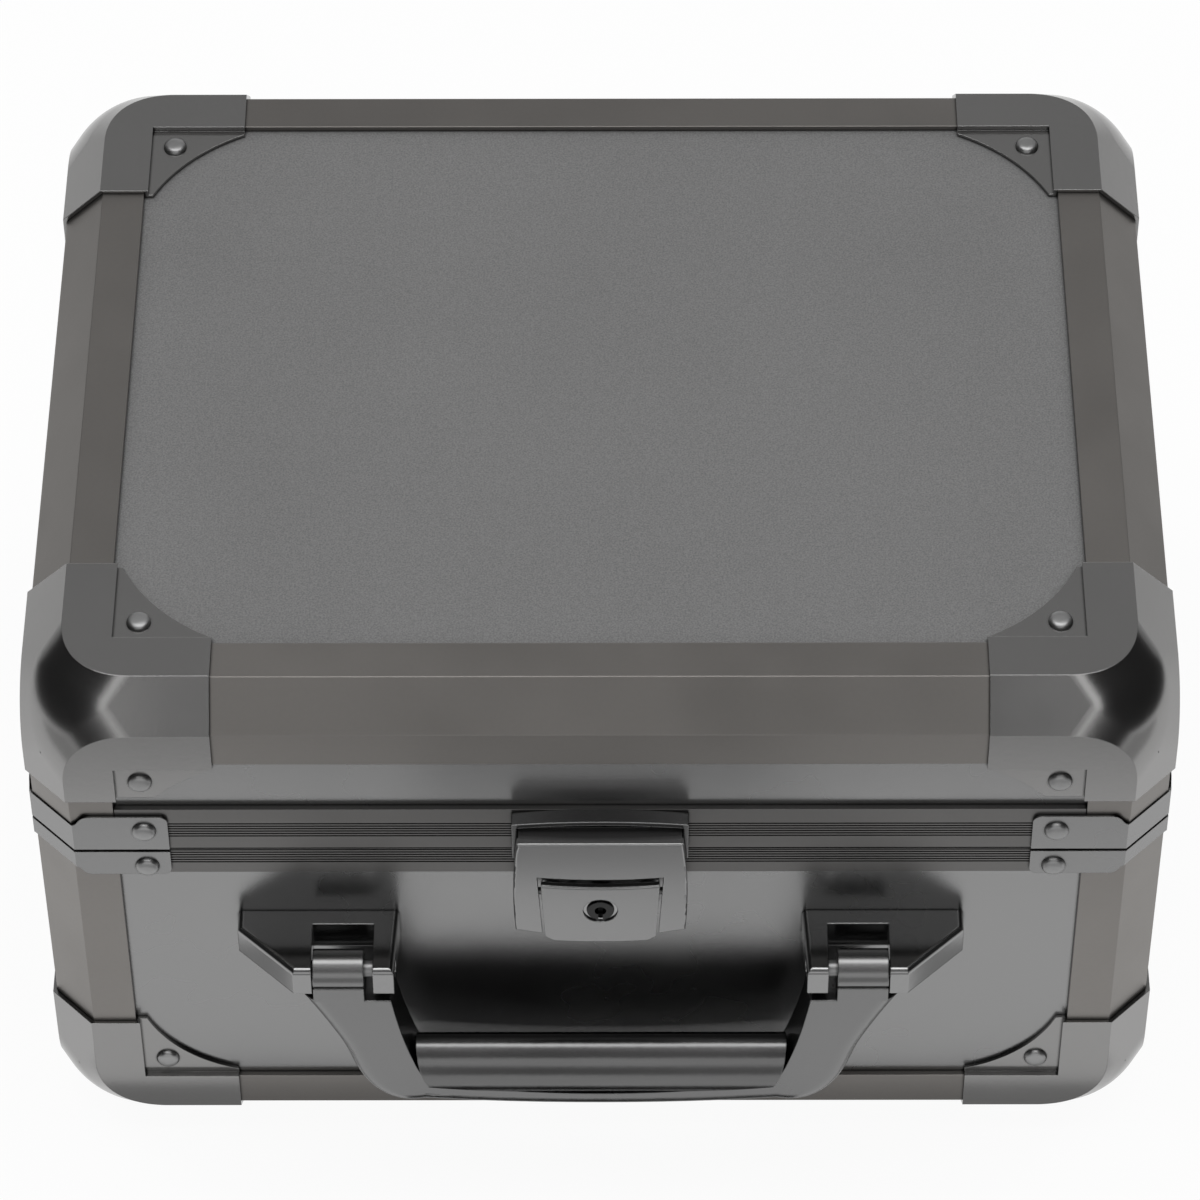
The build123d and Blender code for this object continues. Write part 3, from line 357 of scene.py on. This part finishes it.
EGG_PITCH = 0.031
EGG_DEPTH = 0.011
EGG_MARGIN = 0.012
pad = soft_copy("lid_pad", "lid_foam")
pad_low, pad_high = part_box("lid_pad")
pad_middle = (pad_low + pad_high) / 2
for vertex in pad.data.vertices:
    co = vertex.co
    inset = min(co.x - pad_low.x, pad_high.x - co.x, co.y - pad_low.y, pad_high.y - co.y)
    near_face = max(0.0, 1 - (co.z - pad_low.z) / (pad_high.z - pad_low.z))
    edge_fade = min(1.0, max(0.0, inset / EGG_MARGIN))
    wave = math.cos(2 * math.pi * (co.x - pad_middle.x) / EGG_PITCH)
    wave *= math.cos(2 * math.pi * (co.y - pad_middle.y) / EGG_PITCH)
    co.z += EGG_DEPTH * (0.5 - 0.5 * wave) * near_face * edge_fade
pad.data.update()
pad.data.materials.append(foam("lid_foam_grey", 0.04))
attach(pad, "lid")
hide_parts("lid_pad")

# Studio

FLOOR_SIZE = 14.0
AIR_GLOW = 0.32
CASE_MIDDLE = Vector((0.0, 0.0, 0.1))
FRONT_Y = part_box("base_front_panel")[0].y

deselect()
bpy.ops.mesh.primitive_plane_add(size=FLOOR_SIZE, location=(0.0, 0.0, 0.0))
floor = bpy.context.object
floor.name = "studio_floor"
floor.data.materials.append(studio_floor("studio_white"))


def softbox(name, place, width, height, power):
    """An area lamp that is turned to the case and that metal doesn't mirror."""
    lamp = bpy.data.lights.new(name, "AREA")
    lamp.shape = "RECTANGLE"
    lamp.size = width
    lamp.size_y = height
    lamp.energy = power
    stand = bpy.data.objects.new(name, lamp)
    stand.location = place
    stand.rotation_euler = (CASE_MIDDLE - Vector(place)).to_track_quat("-Z", "Y").to_euler()
    stand.visible_glossy = False
    bpy.context.scene.collection.objects.link(stand)


def around_case(bearing, climb, reach):
    """A place seen from the case: bearing 0 is the camera's side and 90 is the right."""
    turn, rise = math.radians(bearing), math.radians(climb)
    level = reach * math.cos(rise)
    offset = (level * math.sin(turn), -level * math.cos(turn), reach * math.sin(rise))
    return CASE_MIDDLE + Vector(offset)


def studio_card(name, place, target, width, height, glow):
    """A paper card that only reflections see, as bright as its glow."""
    deselect()
    bpy.ops.mesh.primitive_plane_add(size=1.0)
    card = bpy.context.object
    card.name = name
    bpy.ops.transform.resize(value=(width, height, 1.0))
    card.location = place
    card.rotation_euler = (target - place).to_track_quat("-Z", "Y").to_euler()
    bpy.ops.object.transform_apply(location=True, rotation=True, scale=True)
    finish = Finish(name + "_paper")
    tone = finish.mix(finish.noise(4.0), grey(0.92), WHITE)
    glowing = finish.add("ShaderNodeEmission", {}, {"Color": tone, "Strength": glow})
    card.data.materials.append(finish.closed(glowing))
    card.visible_camera = False
    card.visible_diffuse = False
    card.visible_shadow = False
    card.visible_transmission = False


SOFTBOXES = {
    # name: (place, width, height, power)
    "overhead_softbox": ((0.0, 0.15, 2.1), 2.4, 1.4, 24.0),
    "front_softbox": ((0.0, -2.2, 0.9), 2.4, 0.5, 8.0),
    "left_softbox": ((-1.5, 0.9, 1.1), 0.6, 1.0, 6.0),
    "right_softbox": ((1.5, 0.9, 1.1), 0.6, 1.0, 6.0),
}
for name, (place, width, height, power) in SOFTBOXES.items():
    softbox(name, place, width, height, power)

CARDS = {
    # name: (bearing, climb, reach, width, height, glow)
    "overhead_card": (0.0, 90.0, 2.0, 2.0, 0.9, 3.4),
    "camera_card": (0.0, 46.0, 1.9, 0.72, 1.6, 0.26),
    "left_strip": (-20.0, 49.0, 1.8, 0.26, 1.0, 1.7),
    "right_strip": (20.0, 49.0, 1.8, 0.26, 1.0, 1.7),
    "left_black": (-76.0, 28.0, 1.6, 3.4, 2.2, 0.04),
    "right_black": (76.0, 28.0, 1.6, 3.4, 2.2, 0.04),
    "left_back_card": (-140.0, 10.0, 2.2, 1.7, 1.2, 0.4),
    "right_back_card": (140.0, 10.0, 2.2, 1.7, 1.2, 0.4),
    "back_card": (180.0, 46.0, 2.3, 5.0, 2.0, 0.42),
}
for name, (bearing, climb, reach, width, height, glow) in CARDS.items():
    studio_card(name, around_case(bearing, climb, reach), CASE_MIDDLE, width, height, glow)

FLOOR_CARDS = {
    # name: (distance in front of the base's front panel, height, width, depth, glow)
    "front_floor_card": (0.62, 0.0005, 1.8, 1.0, 0.52),
    "front_shade_card": (0.2, 0.001, 0.1, 0.2, 0.32),
    "handle_shade_card": (0.026, 0.0012, 0.1, 0.018, 0.02),
    # painted contact shadow of the case on the floor, seen only in reflections
    "near_floor_shadow_card": (0.008, 0.0015, 0.3, 0.016, 0.4),
}
for name, (out, height, width, depth, glow) in FLOOR_CARDS.items():
    spot = Vector((0.0, FRONT_Y - out, height))
    studio_card(name, spot, spot + Vector((0.0, 0.0, 1.0)), width, depth, glow)

world = bpy.data.worlds.new("studio_air")
bpy.context.scene.world = world
air = Graph(world)
direct, mirrored, through = air.ray_kinds()
ambient = air.add("ShaderNodeBackground", {}, {"Color": WHITE, "Strength": AIR_GLOW})
backdrop = air.add("ShaderNodeBackground", {}, {"Color": WHITE, "Strength": 1.0})
seen = (direct + mirrored + through).clamped()
blend = air.add("ShaderNodeMixShader", {}, {0: seen, 1: ambient, 2: backdrop})
air.add("ShaderNodeOutputWorld", {}, {"Surface": blend})

# Camera, placed from points measured on the photograph

PHOTO_PIXELS = 1200
FILM_MM = 36.0
FOCAL_PIXELS = 5522.0
CENTRE_X = 613.0
CAMERA_PLACE = (0.006, -0.93245, 1.130)
PITCH, YAW, ROLL = 48.25, -0.19, -0.21

lens = bpy.data.cameras.new("photo_camera")
lens.sensor_width = FILM_MM
lens.lens = FOCAL_PIXELS / PHOTO_PIXELS * FILM_MM
lens.shift_x = -(CENTRE_X - PHOTO_PIXELS / 2) / PHOTO_PIXELS
lens.clip_start = 0.05
camera = bpy.data.objects.new("photo_camera", lens)
pitch, yaw, roll = (math.radians(angle) for angle in (PITCH, YAW, ROLL))
level = math.cos(pitch)
ahead = Vector((math.sin(yaw) * level, math.cos(yaw) * level, -math.sin(pitch)))
across = Vector((math.cos(yaw), -math.sin(yaw), 0.0))
upward = across.cross(ahead)
side = across * math.cos(roll) + upward * math.sin(roll)
top = upward * math.cos(roll) - across * math.sin(roll)
turn = Matrix((side, top, -ahead)).transposed()
camera.matrix_world = Matrix.LocRotScale(CAMERA_PLACE, turn.to_quaternion(), None)
bpy.context.scene.collection.objects.link(camera)
bpy.context.scene.camera = camera
bpy.context.scene.view_settings.view_transform = "Standard"
